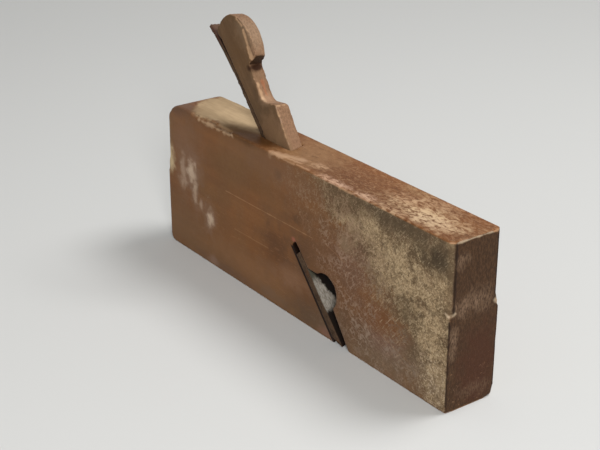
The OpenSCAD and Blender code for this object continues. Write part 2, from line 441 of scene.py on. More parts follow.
def streak(tree, colour, place, start, end, width, over, strength):
    """Draws a broken line of another colour over a colour."""
    line = place_group(tree, scratch_line, Place=place, From=start, To=end, Width=width)
    return coat(tree, line["Mask"], colour, over, strength)


def turned_place(tree, place, turn):
    """The place, turned in the plane of the stock's side."""
    node = tree.nodes.new("ShaderNodeMapping")
    node.inputs["Rotation"].default_value = (0.0, turn, 0.0)
    feed(tree, node.inputs["Vector"], place)
    return node.outputs["Vector"]


def scuffs_along(tree, place, turn):
    """Sparse fine scuffs on the stock's sides, turned from its length."""
    drawn = vector_sums(tree, "DIVIDE", turned_place(tree, place, turn), SCUFF_SIZE)
    return rise(tree, cloud(tree, drawn, 1.0, 3.0, 0.6), 0.58, 0.70)


def roughen(tree, shader, height, depth, strength):
    """Small relief that is finer than the mesh."""
    bump = tree.nodes.new("ShaderNodeBump")
    bump.inputs["Strength"].default_value = strength
    bump.inputs["Distance"].default_value = depth * MM
    feed(tree, bump.inputs["Height"], height)
    feed(tree, shader.inputs["Normal"], bump.outputs["Normal"])


stock_wood, tree, shader, place, wear = start_material("stock_oiled_beech")
along, across, up = axes_of(tree, place)
out = sums(tree, "ABSOLUTE", across)
grain = place_group(tree, beech_grain, Place=place)
speckle = place_group(tree, mottle, Place=place, Blob=14.0, Speck=1.6)

# Brown oiled wood, greyer and paler towards the sole
colour = coat(tree, grain["Bands"], tone(113, 73, 40), tone(126, 83, 46))
colour = coat(tree, grain["Fibres"], colour, tone(94, 59, 33), 0.24)
colour = coat(tree, grain["Rays"], colour, tone(84, 51, 29), 0.35)
hazy = rise(tree, cloud(tree, place, 0.035, 3.0), 0.42, 0.66)
colour = coat(tree, hazy, colour, tone(117, 85, 54), 0.4)
olive = rise(tree, cloud(tree, place, (0.012, 0.03, 0.03), 2.0), 0.48, 0.62)
colour = coat(tree, olive, colour, tone(98, 74, 44), 0.35)
colour = coat(tree, speckle["Blobs"], colour, tone(100, 66, 40), 0.28)
colour = coat(tree, speckle["Specks"], colour, tone(132, 92, 60), 0.16)
low = rise(tree, up, 30.0, 2.0)
colour = coat(tree, low, colour, tone(120, 92, 67), 0.4)

# Damp stain over the toe's sides, beyond a slanting border: grey-brown clouds full of fine pale flecks
length = sums(tree, "ABSOLUTE", along)
corner = sums(tree, "ADD", length, out)
chamfer_corner = TOE + LEFT - CHAMFER
above_foot = rise(tree, up, CHAMFER_FOOT - 1.0, CHAMFER_FOOT + 1.0)
on_chamfer = both(tree, rise(tree, corner, chamfer_corner - 0.7, chamfer_corner - 0.3), above_foot)
on_side = either(tree, rise(tree, out, LEFT - 1.0, LEFT - 0.3), on_chamfer)
slant = sums(tree, "MULTIPLY_ADD", up, 1.05, along)
sway = sums(tree, "MULTIPLY_ADD", cloud(tree, place, 0.06, 5.0, 0.65), 70.0, -35.0)
flecks = cloud(tree, place, 0.62, 6.0, 0.72, twist=1.3)
sparse = sums(tree, "MULTIPLY_ADD", flecks, 70.0, -35.0)
border = sums(tree, "ADD", sums(tree, "ADD", slant, sway), sparse)
damp = both(tree, rise(tree, border, 98.0, 122.0), on_side)
clouds = cloud(tree, place, 0.075, 5.0, 0.65)
damp_colour = coat(tree, rise(tree, clouds, 0.38, 0.60), tone(90, 74, 54), tone(120, 99, 73))
rosy = rise(tree, cloud(tree, place, 0.11, 4.0, 0.6, twist=0.6), 0.50, 0.64)
damp_colour = coat(tree, rosy, damp_colour, tone(108, 81, 63), 0.4)

# The stain is thickest and palest in a few places, with dark gaps between them
on_left = rise(tree, across, LEFT - 2.0, LEFT - 1.0)
thick = both(tree, rise(tree, cloud(tree, place, 0.045, 3.0), 0.53, 0.66), on_left)
for middle, reach, strength in [
    ((48, RIGHT, 69), (10, 3, 8), 0.8),
    ((62, RIGHT, 72), (11, 3, 7), 0.8),
    ((84, RIGHT, 60), (17, 3, 10), 1.0),
    ((105, RIGHT, 56), (10, 3, 8), 0.8),
    ((79, RIGHT, 50), (8, 3, 5), 0.7),
    ((70, RIGHT, 41), (5, 3, 4), 0.6),
    ((108, RIGHT, 44), (12, 3, 6), 0.9),
    ((109, RIGHT, 31), (8, 3, 8), 0.9),
    ((111, RIGHT, 15), (9, 3, 11), 1.0),
    ((111, RIGHT, 64), (7, 3, 5), 0.4),
    ((99, RIGHT, 77), (8, 3, 4), 0.35),
]:
    mask = patch_mask(tree, place, middle, reach, ragged=2.2, blob=7.0)
    thick = either(tree, thick, both(tree, mask, strength))
damp_colour = coat(tree, thick, damp_colour, tone(150, 127, 96), 0.75)
gaps = rise(tree, cloud(tree, place, 0.17, 4.0, 0.6, twist=0.8), 0.50, 0.62)
damp_colour = coat(tree, gaps, damp_colour, tone(92, 76, 57), 0.7)
dense = sums(tree, "MULTIPLY_ADD", thick, 0.06, flecks)
dense = sums(tree, "MULTIPLY_ADD", gaps, -0.05, dense)
pale = rise(tree, dense, 0.46, 0.66)
damp_colour = coat(tree, pale, damp_colour, tone(192, 169, 134), 0.74)
shady = rise(tree, flecks, 0.46, 0.32)
damp_colour = coat(tree, shady, damp_colour, tone(72, 57, 40), 0.55)
colour = coat(tree, damp, colour, damp_colour, 0.94)

# Patches on the sides
for middle, reach, over, strength in [
    # Dark under the top arris and at the toe's corner
    ((86, RIGHT, 83), (28, 3, 5.5), tone(76, 62, 46), 0.75),
    ((110, RIGHT, 74), (8, 3, 6), tone(61, 50, 37), 0.8),
    ((40, RIGHT, 81), (18, 3, 7), tone(88, 70, 50), 0.6),
    # Gaps in the stain
    ((53, RIGHT, 63), (4, 3, 4), tone(96, 78, 57), 0.4),
    ((92, RIGHT, 42), (7, 3, 6), tone(92, 77, 57), 0.5),
    ((96, RIGHT, 21), (6, 3, 6), tone(84, 68, 50), 0.6),
    # Grey, pink and brown, low on the toe
    ((75, RIGHT, 12), (31, 3, 13), tone(106, 87, 69), 0.85),
    ((74, RIGHT, 18), (12, 3, 6), tone(118, 90, 78), 0.6),
    ((70, RIGHT, 29), (17, 3, 8), tone(112, 71, 41), 0.9),
    ((50, RIGHT, 6), (24, 3, 9), tone(112, 90, 68), 0.4),
    # Round the hole and the slot
    ((50, RIGHT, 48), (13, 3, 14), tone(116, 84, 68), 0.6),
    ((26, RIGHT, 34), (38, 3, 32), tone(88, 63, 44), 0.6),
    ((45, RIGHT, 57), (5, 3, 4), tone(132, 110, 84), 0.6),
    ((52, RIGHT, 14), (6, 3, 6), tone(90, 62, 42), 0.6),
    ((-14, RIGHT, 33), (9, 3, 10), tone(78, 49, 30), 0.5),
    ((4, RIGHT, 56), (4, 3, 3), tone(76, 52, 34), 0.6),
    ((-11, RIGHT, 76), (3, 3, 2.5), tone(78, 54, 36), 0.6),
    ((12, RIGHT, 14), (15, 3, 7), tone(88, 57, 36), 0.5),
    ((11, RIGHT, 38), (5, 3, 8), tone(88, 62, 42), 0.6),
    ((-10, RIGHT, 78), (34, 3, 8), tone(116, 85, 61), 0.5),
    # Towards the heel and along the sole
    ((-104, RIGHT, 66), (18, 3, 18), tone(120, 91, 71), 0.4),
    ((-102, RIGHT, 14), (22, 3, 16), tone(112, 84, 58), 0.5),
    ((-34, RIGHT, 14), (44, 3, 8), tone(132, 96, 66), 0.4),
    ((0, RIGHT, 22), (14, 3, 5), tone(136, 100, 74), 0.5),
    ((-60, RIGHT, 3), (22, 3, 3), tone(98, 74, 58), 0.5),
    ((-75, RIGHT, 3), (5, 3, 3), tone(146, 120, 106), 0.4),
    ((-16, RIGHT, 5), (10, 3, 3), tone(112, 88, 68), 0.5),
    ((18, RIGHT, 6), (14, 3, 7), tone(90, 72, 56), 0.6),
    ((30, RIGHT, 2), (6, 3, 3), tone(136, 98, 84), 0.5),
    # Left side
    ((-70, LEFT, 62), (44, 3, 16), tone(92, 60, 36), 0.6),
    ((-104, LEFT, 30), (18, 3, 24), tone(128, 98, 70), 0.6),
    ((-46, LEFT, 8), (64, 3, 8), tone(138, 106, 80), 0.6),
    ((-30, LEFT, 36), (26, 3, 12), tone(122, 84, 52), 0.5),
    ((4, LEFT, 52), (12, 3, 9), tone(74, 49, 31), 0.55),
    ((10, LEFT, 70), (26, 3, 12), tone(94, 68, 46), 0.6),
    ((44, LEFT, 20), (26, 3, 14), tone(124, 92, 66), 0.6),
    ((84, LEFT, 81), (30, 3, 7), tone(76, 62, 46), 0.7),
]:
    colour = stain(tree, colour, place, middle, reach, over, strength, ragged=2.2, blob=8.0, soft=0.8)

# Pale flecks that thin out beyond the stain
pale_flecks = rise(tree, flecks, 0.50, 0.66)
for middle, reach, over, strength in [
    ((54, RIGHT, 47), (20, 3, 20), tone(152, 122, 100), 0.6),
    ((20, RIGHT, 74), (24, 3, 15), tone(146, 118, 92), 0.65),
    ((78, RIGHT, 13), (36, 3, 14), tone(156, 128, 104), 0.6),
    ((36, RIGHT, 30), (14, 3, 14), tone(146, 112, 88), 0.4),
    ((112, RIGHT, 14), (9, 3, 12), tone(190, 172, 146), 0.9),
    ((40, LEFT, 54), (28, 3, 24), tone(150, 120, 96), 0.6),
    ((70, LEFT, 14), (30, 3, 12), tone(152, 124, 100), 0.55),
    ((-98, LEFT, 40), (18, 3, 24), tone(148, 116, 92), 0.45),
]:
    colour = stain(tree, colour, place, middle, reach, over, strength, [pale_flecks], soft=0.9)

# Scuffs across the grain in the stain and beyond it, and along the grain below
for middle, reach, turn, over, strength in [
    ((44, RIGHT, 50), (26, 3, 26), 0.7, tone(158, 124, 98), 0.4),
    ((52, RIGHT, 40), (24, 3, 20), -0.6, tone(150, 118, 96), 0.35),
    ((74, RIGHT, 18), (26, 3, 14), -0.32, tone(158, 130, 112), 0.6),
    ((-30, RIGHT, 24), (60, 3, 24), -0.02, tone(146, 106, 74), 0.35),
    ((90, RIGHT, 52), (36, 3, 36), 0.8, tone(198, 176, 144), 0.45),
    ((86, RIGHT, 48), (38, 3, 36), 0.6, tone(64, 52, 39), 0.4),
    ((-50, LEFT, 40), (66, 3, 36), 0.03, tone(148, 110, 78), 0.45),
    ((30, LEFT, 44), (30, 3, 26), -0.7, tone(154, 122, 98), 0.5),
    ((-84, LEFT, 30), (30, 3, 22), 0.5, tone(154, 120, 94), 0.4),
    ((84, LEFT, 50), (36, 3, 36), -0.8, tone(190, 168, 136), 0.4),
]:
    lines = scuffs_along(tree, place, turn)
    colour = stain(tree, colour, place, middle, reach, over, strength, [lines], soft=0.9)

# Squiggly scuffs round the hole and low on the toe, along the lines where a cloud has its middle value
squiggle = cloud(tree, place, 0.21, 2.0, 0.55, twist=0.5)
squiggle = rise(tree, sums(tree, "ABSOLUTE", sums(tree, "SUBTRACT", squiggle, 0.5)), 0.055, 0.01)
squiggle = both(tree, squiggle, rise(tree, clouds, 0.42, 0.56))
for middle, reach, over, strength in [
    ((50, RIGHT, 46), (20, 3, 22), tone(156, 130, 110), 0.6),
    ((78, RIGHT, 14), (34, 3, 14), tone(152, 132, 114), 0.65),
    ((30, RIGHT, 72), (26, 3, 13), tone(146, 120, 96), 0.5),
    ((96, RIGHT, 50), (26, 3, 30), tone(78, 63, 46), 0.6),
    ((40, LEFT, 48), (32, 3, 26), tone(152, 124, 102), 0.5),
    ((96, LEFT, 46), (26, 3, 30), tone(82, 67, 50), 0.5),
]:
    colour = stain(tree, colour, place, middle, reach, over, strength, [squiggle], soft=0.9)

# Chalky rubs towards the heel, each a grey haze with a white core
HAZE_SIZE = 2.2
grey = tone(128, 101, 82)
chalk = tone(196, 172, 148)
for middle, reach, strength in [
    ((-95, RIGHT, 50), (3.4, 3, 5.5), 0.8),
    ((-104, RIGHT, 49), (2.6, 3, 7), 0.35),
    ((-92, RIGHT, 39), (1.6, 3, 5), 0.45),
    ((-86, RIGHT, 33), (1.6, 3, 2.5), 0.35),
    ((-77, RIGHT, 28), (2.4, 3, 4), 0.85),
    ((-105, RIGHT, 41), (4, 3, 2), 0.12),
    ((-100, LEFT, 24), (5, 3, 2.5), 0.4),
    ((-66, LEFT, 57), (1.5, 3, 7), 0.22),
]:
    haze = tuple(HAZE_SIZE * part for part in reach)
    colour = stain(tree, colour, place, middle, haze, grey, 0.7 * strength, ragged=2.4, soft=0.9)
    colour = stain(tree, colour, place, middle, reach, chalk, strength, ragged=3.4, blob=4.0, soft=0.9)

# Top, oiled towards the toe, with scuffs, nicks and flecks of pale wood
chafed = cloud(tree, place, (0.26, 0.5, 0.5), 6.0, 0.68, twist=0.8)
on_top = rise(tree, up, TOP - 1.0, TOP - 0.3)
top_colour = coat(tree, grain["Bands"], tone(100, 60, 30), tone(118, 74, 40))
top_colour = coat(tree, grain["Rays"], top_colour, tone(82, 51, 32), 0.4)
top_colour = stain(tree, top_colour, place, (60, 16, TOP), (90, 6, 3), tone(130, 80, 42), 0.6)
top_colour = stain(tree, top_colour, place, (-3, 0, TOP), (20, 18, 3), tone(140, 104, 70), 0.7)
scuffed = sums(tree, "MULTIPLY_ADD", rise(tree, along, 10.0, 70.0), 0.04, chafed)
scuffs = rise(tree, scuffed, 0.48, 0.76)
top_colour = coat(tree, scuffs, top_colour, tone(162, 127, 94), 0.6)
hollows = rise(tree, chafed, 0.46, 0.33)
top_colour = coat(tree, hollows, top_colour, tone(84, 50, 27), 0.5)
nicks = cloud(tree, place, (0.5, 1.1, 1.1), 4.0, 0.75, twist=0.6)
towards_toe = rise(tree, along, 0.0, 34.0)
pale_nicks = both(tree, towards_toe, rise(tree, nicks, 0.52, 0.66))
top_colour = coat(tree, pale_nicks, top_colour, tone(168, 128, 94), 0.5)
dark_nicks = both(tree, towards_toe, rise(tree, nicks, 0.48, 0.35))
top_colour = coat(tree, dark_nicks, top_colour, tone(84, 52, 29), 0.6)
chafed_through = rise(tree, chafed, 0.38, 0.58)
frayed = dict(ragged=2.4, blob=4.0, soft=0.9)
for middle, reach, over, strength in [
    ((90, -3, TOP), (19, 7, 3), tone(202, 172, 134), 0.9),
    ((27, -13.5, TOP), (6, 2.5, 3), tone(198, 160, 132), 0.8),
    ((66, 13, TOP), (10, 4, 3), tone(168, 136, 98), 0.6),
    ((13, -6, TOP), (6, 3, 3), tone(180, 144, 112), 0.7),
    ((39, -13, TOP), (7, 2.5, 3), tone(200, 164, 138), 0.75),
    ((57, -12, TOP), (6, 2.5, 3), tone(200, 164, 136), 0.75),
    ((76, -13, TOP), (9, 3, 3), tone(190, 158, 124), 0.7),
    ((72, 1, TOP), (9, 4, 3), tone(186, 150, 116), 0.6),
    ((87, 9, TOP), (10, 4, 3), tone(182, 146, 112), 0.45),
    ((104, -6, TOP), (8, 5, 3), tone(186, 152, 118), 0.5),
    ((95, -6, TOP), (9, 5, 3), tone(202, 174, 142), 0.5),
]:
    top_colour = stain(tree, top_colour, place, middle, reach, over, strength, [chafed_through], **frayed)
colour = coat(tree, on_top, colour, top_colour)

# Bare wood on the top behind the wedge, between two dark places that kept their oil. The one beside the
# wedge is also darkened as a painted shadow of the wedge
bare_heel = patch_mask(tree, place, (-84, 5, TOP), (23, 20, 4), ragged=0.8, blob=9.0, soft=0.10)
bare_front = patch_mask(tree, place, (-66, 8, TOP), (28, 22, 4), ragged=0.8, blob=9.0, soft=0.14)
bare = either(tree, bare_heel, bare_front)
bleached = cloud(tree, place, (0.035, 0.11, 0.11), 4.0, 0.6)
bare_colour = coat(tree, rise(tree, bleached, 0.36, 0.66), tone(160, 136, 105), tone(186, 160, 126))
bare_colour = coat(tree, grain["Fibres"], bare_colour, tone(140, 113, 82), 0.2)
near_top = rise(tree, up, TOP - 2.6, TOP - 1.6)
colour = coat(tree, both(tree, bare, near_top), colour, bare_colour)
for middle, reach, over, strength, ragged, blob in [
    ((-45, -10, TOP), (20, 7, 3), tone(76, 47, 18), 0.9, 0.8, 9.0),
    ((-107, -13, TOP), (13, 6, 3), tone(104, 74, 54), 0.8, 1.2, 6.0),
]:
    colour = stain(tree, colour, place, middle, reach, over, strength, ragged=ragged, blob=blob)

# Chamfers, darkened by hands
colour = coat(tree, on_chamfer, colour, tone(80, 64, 46), 0.5)

# End grain of the toe and heel, which takes the oil deeper, painted darker still as shade, with a few rubs
between_chamfers = rise(tree, corner, chamfer_corner + 0.3, chamfer_corner)
on_end = both(tree, rise(tree, length, TOE - 0.9, TOE - 0.3), between_chamfers)
below_chamfers = rise(tree, up, CHAMFER_FOOT + 1.0, CHAMFER_FOOT - 1.0)
low_end = both(tree, rise(tree, length, TOE - 0.7, TOE - 0.2), below_chamfers)
on_end = either(tree, on_end, low_end)
pores = cloud(tree, place, (0.6, 1.3, 0.5), 5.0, 0.7)
end_and_shade_colour = coat(tree, rise(tree, pores, 0.38, 0.66), tone(54, 36, 22), tone(76, 53, 34))
end_and_shade_colour = stain(tree, end_and_shade_colour, place, (TOE, 5, 20), (4, 12, 20), tone(66, 37, 23), 0.7)
open_pores = rise(tree, pores, 0.34, 0.62)
worn_grey = tone(120, 96, 76)
crumbled = dict(ragged=2.6, blob=5.0, soft=0.9)
for middle, reach, strength in [
    ((TOE, -9, 76), (4, 3.6, 3), 0.6),
    ((TOE, -7, 53), (4, 6, 4), 0.75),
    ((TOE, 3, 54), (4, 7, 5), 0.65),
    ((TOE, -12, 39), (4, 2.6, 4), 0.75),
    ((TOE, -12, 31), (4, 2.2, 3.5), 0.6),
    ((HEEL, 4, 30), (4, 8, 14), 0.4),
    ((HEEL, 8, 62), (4, 6, 8), 0.5),
    ((TOE, 3, 8), (4, 9, 3), 0.3),
]:
    end_and_shade_colour = stain(tree, end_and_shade_colour, place, middle, reach, worn_grey, strength, [open_pores], **crumbled)
specks = both(tree, rise(tree, flecks, 0.60, 0.66), rise(tree, up, 32.0, 8.0))
end_and_shade_colour = coat(tree, specks, end_and_shade_colour, tone(150, 112, 86), 0.7)
cream = tone(176, 150, 114)
end_and_shade_colour = stain(tree, end_and_shade_colour, place, (HEEL, -13, 52), (4, 3.5, 8), cream, 0.6, **frayed)
colour = coat(tree, on_end, colour, end_and_shade_colour)

# Outer arrises rubbed to paler wood, less so round the mouth and hole
rubbed = place_group(tree, worn_edge, Wear=wear, Place=place, Start=0.15, Full=0.6, Breaks=1.0)["Mask"]
at_rim = either(tree, rise(tree, up, TOP - 2.5, TOP - 1.0), rise(tree, up, SOLE + 2.5, SOLE + 1.0))
handled = both(tree, rise(tree, along, 0.0, -20.0), rise(tree, across, 0.0, -10.0))
at_rim = both(tree, at_rim, sums(tree, "MULTIPLY_ADD", handled, -0.85, 1.0))
rubbed = both(tree, rubbed, sums(tree, "MULTIPLY_ADD", at_rim, 0.45, 0.1))
colour = coat(tree, rubbed, colour, tone(178, 140, 106))

# Heel: its corner darkened by the palm, and its edge rubbed to cream where it has knocked against something
for middle, reach, over, strength, ragged, blob, soft in [
    ((-109, -13, 84), (12, 5, 4), tone(100, 71, 52), 0.8, 1.2, 6.0, 0.7),
    ((-119.5, -14.5, 66), (3.5, 4, 16), tone(128, 102, 68), 0.6, 1.6, 6.0, 0.8),
    ((-119, -14.5, 52), (5, 4, 8), tone(196, 172, 134), 0.9, 1.6, 4.0, 0.6),
]:
    colour = stain(tree, colour, place, middle, reach, over, strength, ragged=ragged, blob=blob, soft=soft)

# Scratches along the sides
for start, end, width, strength in [
    ((-60, RIGHT, 50.5), (18.5, RIGHT, 51.3), 0.5, 0.5),
    ((-52, RIGHT, 30.8), (-20, RIGHT, 31.2), 0.45, 0.35),
    ((30, RIGHT, 52), (52, RIGHT, 46), 0.4, 0.3),
    ((62, RIGHT, 24), (96, RIGHT, 15), 0.4, 0.3),
    ((-98, LEFT, 44), (-16, LEFT, 46.5), 0.5, 0.5),
    ((-40, LEFT, 72), (34, LEFT, 69), 0.45, 0.35),
    ((-88, LEFT, 20), (-20, LEFT, 18), 0.45, 0.35),
]:
    colour = streak(tree, colour, place, start, end, width, tone(164, 122, 86), strength)

# Torn and worn places on the right-hand top arris
for start, end, width, over, strength in [
    # Splinter gone from behind the wedge: a pale sliver and a dark tear above it
    ((-86, RIGHT, 84.2), (-53, RIGHT, 84.6), 2.0, tone(178, 148, 116), 0.9),
    ((-92, -13.6, 85.6), (-62, -13.6, 85.6), 0.9, tone(56, 38, 24), 0.85),
    # Pale strip beside the wedge
    ((-17, -13.6, TOP), (2, -8.4, TOP), 3.6, tone(190, 154, 122), 0.6),
    ((-14, -13.8, TOP), (4, -11.5, TOP), 2.2, tone(190, 154, 122), 0.5),
    ((4, -14.2, TOP), (14, -13.8, TOP), 1.2, tone(184, 148, 116), 0.5),
]:
    colour = streak(tree, colour, place, start, end, width, over, strength)

# Dirt along the toe's upright edges
for start, end in [
    ((TOE, -12.6, 85), (TOE, -12.6, 51)),
    ((TOE, RIGHT, 49), (TOE, RIGHT, 1)),
    ((TOE, 12.6, 85), (TOE, 12.6, 51)),
    ((TOE, LEFT, 49), (TOE, LEFT, 1)),
]:
    colour = streak(tree, colour, place, start, end, 1.5, tone(36, 25, 18), 0.9)

# Edges bruised to pale wood
for start, end, width in [
    # Ends of the toe's chamfers
    ((117.5, RIGHT, 50.8), (119.4, -14.4, 49.8), 1.0),
    ((119.4, -14.2, 49.6), (TOE, -11.5, 51), 1.3),
    ((TOE, 12.8, 51), (TOE, 14.6, 49.4), 1.8),
    # Top arris of the toe, and the foot of the heel's round
    ((120.4, -12.4, 85.8), (120.4, 12.6, 85.8), 0.9),
    ((-119.6, -12, 72), (-119.6, 12, 72.4), 0.9),
]:
    colour = streak(tree, colour, place, start, end, width, tone(190, 168, 140), 0.6)

# Sole, polished and scored along its length by the work, and bare ahead of the mouth
scores = cloud(tree, place, (0.012, 1.9, 1.9), 4.0, 0.65)
sole_colour = coat(tree, grain["Bands"], tone(112, 78, 49), tone(128, 91, 60))
pale_scores = rise(tree, scores, 0.52, 0.66)
sole_colour = coat(tree, pale_scores, sole_colour, tone(158, 122, 88), 0.5)
dark_scores = rise(tree, scores, 0.46, 0.34)
sole_colour = coat(tree, dark_scores, sole_colour, tone(78, 52, 33), 0.5)
for middle, reach, over in [
    ((58, 0, SOLE), (18, 24, 3), tone(152, 118, 86)),
    ((112, 6, SOLE), (16, 14, 3), tone(92, 74, 54)),
    ((-108, -4, SOLE), (14, 14, 3), tone(84, 56, 36)),
]:
    sole_colour = stain(tree, sole_colour, place, middle, reach, over, 0.6)
colour = coat(tree, rise(tree, up, SOLE + 0.9, SOLE + 0.4), colour, sole_colour)

# Painted shade along the slot's edge, in the gap behind the iron, then a spot of rust at its top
from_bed = vector_sums(tree, "DOT_PRODUCT", vector_sums(tree, "SUBTRACT", place, BED_FOOT), BED_FACING)
beside_bed = rise(tree, sums(tree, "ABSOLUTE", from_bed), 1.3, 0.8)
slot_gap_shade = both(tree, beside_bed, rise(tree, up, 41.5, 40.0))
colour = coat(tree, slot_gap_shade, colour, tone(18, 8, 4), 0.97)
rust_red = tone(158, 92, 74)
colour = stain(tree, colour, place, (2.6, RIGHT, 44.6), (1.6, 2, 1.2), rust_red, 0.6, ragged=0.8, blob=2.0)

# Painted shade inside the mouth, hole and mortise, whose unoiled wood is painted near black. They all lie
# within 65 mm of a place 5 mm behind the stock's middle
from_middle = sums(tree, "ABSOLUTE", sums(tree, "ADD", along, 5.0))
deep = both(
    tree,
    rise(tree, out, LEFT - 0.2, LEFT - 1.0),
    rise(tree, up, TOP - 0.6, TOP - 2.5),
    rise(tree, up, SOLE + 0.5, SOLE + 2.0),
    rise(tree, from_middle, 68.0, 65.0),
)
colour = coat(tree, deep, colour, tone(30, 19, 13), 0.96)
feed(tree, shader.inputs["Base Color"], colour)

# All three pieces are old and dry, and shine little
DULL_SHINE = 0.12
matt = either(tree, damp, bare, rubbed)
feed(tree, shader.inputs["Roughness"], sums(tree, "MULTIPLY_ADD", matt, 0.26, 0.52))
shader.inputs["Specular IOR Level"].default_value = DULL_SHINE
dust = sums(tree, "MULTIPLY", both(tree, flecks, damp), 1.5)
roughen(tree, shader, sums(tree, "ADD", grain["Relief"], dust), 0.12, 0.7)

stock.data.materials.append(stock_wood)
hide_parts("stock")
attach(stock, "stock")

# Iron
# One forging: a wide blade with a steel face, ground along the skewed edge, and a long tang bent back.
# It lies on the bed with its sides flush with the stock, and the wedge holds it. Rust has browned it.

IRON_FACE = 0.45 * MM

# Middle of the tang's bent end
TANG_END = (-89.2, 0.0, 134.2)

iron, iron_solid = dense_copy("iron", "iron_worn", IRON_FACE)
wear_in(
    iron,
    iron_solid,
    rubs=2,
    rounded=[(TANG_END, (6, 6, 6), 6)],
    knocks=[],
    chip_depth=0.25,
    chip_size=2.5,
    ripple=0.08,
)

iron_steel, tree, shader, place, wear = start_material("iron_rusty_steel")
_, across, up = axes_of(tree, place)
out = sums(tree, "ABSOLUTE", across)

# Brown rust, with orange patches, over the marks of the file
rust = place_group(tree, mottle, Place=place, Blob=7.0, Speck=0.9)
filing = cloud(tree, place, (0.35, 1.8, 0.35), 3.0, 0.6)
colour = coat(tree, rust["Blobs"], tone(74, 56, 41), tone(56, 41, 29))
colour = coat(tree, rust["Specks"], colour, tone(94, 74, 57), 0.45)
orange = rise(tree, cloud(tree, place, 0.3, 4.0, 0.65), 0.56, 0.68)
colour = coat(tree, orange, colour, tone(90, 56, 33), 0.5)

# Painted shade on the face inside the mouth and up the front of the tang, whose end is bruised
inside = rise(tree, out, LEFT - 0.1, LEFT - 0.8)
shade_in_mouth = both(tree, inside, rise(tree, up, 44.0, 40.0))
colour = coat(tree, shade_in_mouth, colour, tone(20, 13, 10), 0.92)
# Painted shade on the front of the tang, where it lies against the wedge
facing = tree.nodes.new("ShaderNodeNewGeometry").outputs["Normal"]
ahead = rise(tree, vector_sums(tree, "DOT_PRODUCT", facing, BED_FACING), 0.4, 0.8)
shade_on_tang = both(tree, ahead, rise(tree, up, 60.0, 80.0))
colour = coat(tree, shade_on_tang, colour, tone(34, 25, 20), 0.8)
for middle, reach, over in [
    (TANG_END, (5, 8, 4), tone(106, 80, 64)),
    ((-84, -5, 128), (7, 2, 8), tone(62, 36, 30)),
]:
    colour = stain(tree, colour, place, middle, reach, over, 0.7, ragged=1.6, blob=3.0)

# Painted light on the steel beside the hole, on the right, narrower upwards, which the shavings polish
sway = sums(tree, "MULTIPLY_ADD", cloud(tree, place, 0.3, 4.0, 0.6), 4.0, -2.0)
inward = sums(tree, "ADD", sums(tree, "MULTIPLY_ADD", up, 0.53, across), sway)
polish_and_painted_light = both(tree, rise(tree, inward, 5.0, 3.2), inside)
height = sums(tree, "ADD", up, sway)
in_hole = both(tree, rise(tree, height, 13.5, 16.5), rise(tree, height, 29.0, 25.5))
dull = both(tree, polish_and_painted_light, rise(tree, height, 36.0, 33.0), rise(tree, height, 15.0, 18.0))
colour = coat(tree, dull, colour, tone(92, 88, 74), 0.8)
polish_and_painted_light = both(tree, polish_and_painted_light, in_hole)
# Pale steel colour painted as light; the polish only raises metal and lowers roughness
steel = coat(tree, rise(tree, filing, 0.35, 0.65), tone(150, 140, 127), tone(206, 197, 183))
steel = coat(tree, rust["Specks"], steel, tone(112, 100, 85), 0.35)
colour = coat(tree, polish_and_painted_light, colour, steel)

# Edges rubbed paler
rubbed = place_group(tree, worn_edge, Wear=wear, Place=place, Start=0.10, Full=0.35, Breaks=0.4)["Mask"]
colour = coat(tree, rubbed, colour, tone(112, 91, 73), 0.35)
feed(tree, shader.inputs["Base Color"], colour)
feed(tree, shader.inputs["Metallic"], sums(tree, "MULTIPLY_ADD", polish_and_painted_light, 0.35, 0.05))
feed(tree, shader.inputs["Roughness"], sums(tree, "MULTIPLY_ADD", polish_and_painted_light, -0.25, 0.7))
shader.inputs["Specular IOR Level"].default_value = DULL_SHINE
pits = sums(tree, "MULTIPLY_ADD", rust["Specks"], 0.7, rust["Blobs"])
roughen(tree, shader, sums(tree, "MULTIPLY_ADD", filing, 0.3, pits), 0.09, 0.7)

iron.data.materials.append(iron_steel)
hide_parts("iron")
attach(iron, "iron")

# Wedge
# One slip of beech with its grain along its length, sawn to a taper and cut to a shoulder, a hollow and
# a round head for the mallet. It was never oiled. It is driven into the mortise ahead of the iron.

(_, WEDGE_RIGHT, _), (_, WEDGE_LEFT, _) = corners("wedge")
WEDGE_FACE = 0.5 * MM

# Turn that lays the grain along the wedge, and the direction that the underside of its head faces
WEDGE_TURN = 2.3155
UNDER_HEAD = (0.678, 0.0, -0.735)

